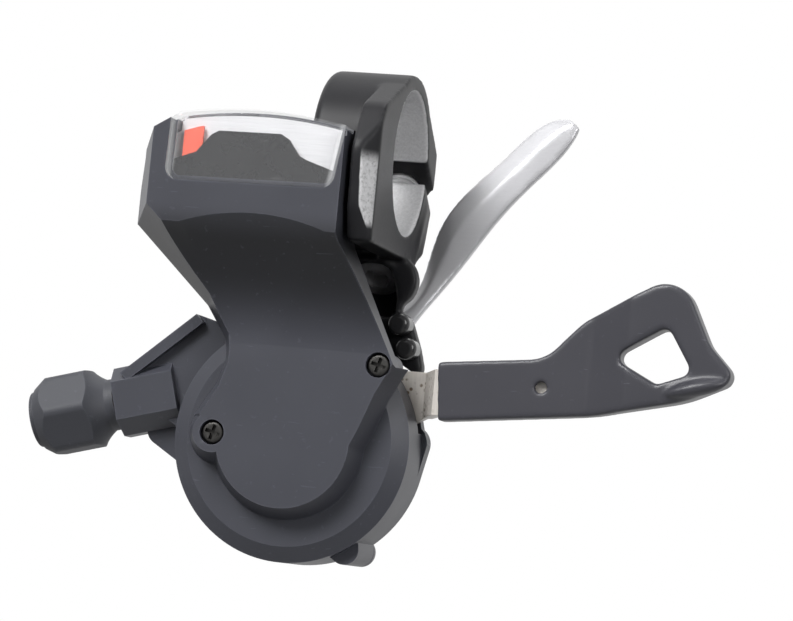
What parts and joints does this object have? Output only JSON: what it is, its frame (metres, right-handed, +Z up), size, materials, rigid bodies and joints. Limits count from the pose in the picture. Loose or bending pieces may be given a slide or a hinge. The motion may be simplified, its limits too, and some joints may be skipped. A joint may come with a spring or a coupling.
{
  "type": "trigger gear shifter",
  "caption": "Bicycle trigger gear shifter with a handlebar clamp, display window, push lever, release lever and cable adjuster.",
  "frame": {"origin": "centre of the handlebar bore, in the middle of the clamp's width", "axes": "+X along the handlebar towards its open end, +Y away from the rider, +Z up"},
  "size_m": [0.1102, 0.0464, 0.0767],
  "materials": {
    "black_cast_metal": "satin",
    "bolt_steel": "satin",
    "black_moulding": "satin",
    "clear_window": "clear",
    "silver_dial": "satin",
    "black_mask": "matt",
    "stop_rubber": "gloss",
    "orange_needle": "satin",
    "lever_moulding": "satin",
    "stamped_steel": "brushed",
    "bright_aluminium": "polished",
    "spring_steel": "satin",
    "white_acetal": "satin",
    "brass_sleeve": "satin",
    "adjuster_moulding": "matt"
  },
  "bodies": {
    "housing": {"clamp_bracket": "black_cast_metal", "clamp_bolt": "bolt_steel", "travel_stops": "stop_rubber", "display_cover": "black_moulding", "display_lens": "clear_window", "dial_plate": "silver_dial", "dial_mask": "black_mask", "indicator_base": "black_moulding", "needle_pin": "bolt_steel", "main_case": "black_moulding", "back_cover": "black_moulding", "cover_screws": "bolt_steel", "back_screws": "bolt_steel", "pivot_axle": "bolt_steel", "axle_washer": "bolt_steel", "axle_nut": "bolt_steel", "holding_pawl_pin": "bolt_steel", "main_return_spring": "spring_steel", "release_return_spring": "spring_steel", "adjuster_sleeve": "brass_sleeve"},
    "drum": {"cable_drum": "white_acetal", "ratchet_wheel": "stamped_steel"},
    "needle": {"gear_needle": "orange_needle"},
    "push_lever": {"lever_plate": "stamped_steel", "lever_grip": "lever_moulding", "drive_pawl_pin": "bolt_steel"},
    "drive_pawl": {"drive_pawl": "stamped_steel"},
    "holding_pawl": {"holding_pawl": "stamped_steel"},
    "release": {"release_lever": "bright_aluminium", "release_bush": "white_acetal"},
    "adjuster": {"adjuster_barrel": "adjuster_moulding"}
  },
  "joints": [
    {"name": "push_lever_swing", "type": "hinge", "parent": "housing", "child": "push_lever", "pos_m": [-0.0053, 0, -0.0448], "axis": [0, -1, 0], "range_deg": [0, 30], "stiffness_Nm_per_rad": 0.02, "springref_deg": -28.65},
    {"name": "release_swing", "type": "hinge", "parent": "housing", "child": "release", "pos_m": [-0.0053, 0, -0.0448], "axis": [0, 1, 0], "range_deg": [0, 14], "stiffness_Nm_per_rad": 0.02, "springref_deg": -17.19},
    {"name": "drum_turn", "type": "hinge", "parent": "housing", "child": "drum", "pos_m": [-0.0053, 0, -0.0448], "axis": [0, -1, 0], "range_deg": [0, 120]},
    {"name": "needle_swing", "type": "hinge", "parent": "housing", "child": "needle", "pos_m": [-0.0098, 0, -0.0381], "axis": [0, 1, 0], "range_deg": [0, 26]},
    {"name": "drive_pawl_swing", "type": "hinge", "parent": "push_lever", "child": "drive_pawl", "pos_m": [-0.00645, 0, -0.03165], "axis": [0, -1, 0], "range_deg": [0, 7], "stiffness_Nm_per_rad": 0.002, "springref_deg": -2.86},
    {"name": "holding_pawl_swing", "type": "hinge", "parent": "housing", "child": "holding_pawl", "pos_m": [-0.01611, 0, -0.05237], "axis": [0, -1, 0], "range_deg": [0, 7], "stiffness_Nm_per_rad": 0.002, "springref_deg": -2.86},
    {"name": "adjuster_turn", "type": "hinge", "parent": "housing", "child": "adjuster", "pos_m": [-0.0344, -0.005, -0.0409], "axis": [0.9636, 0, 0.2672], "continuous": true}
  ],
  "couplings": [
    {"joint": "needle_swing", "follows": "drum_turn", "ratio": 0.21667}
  ]
}
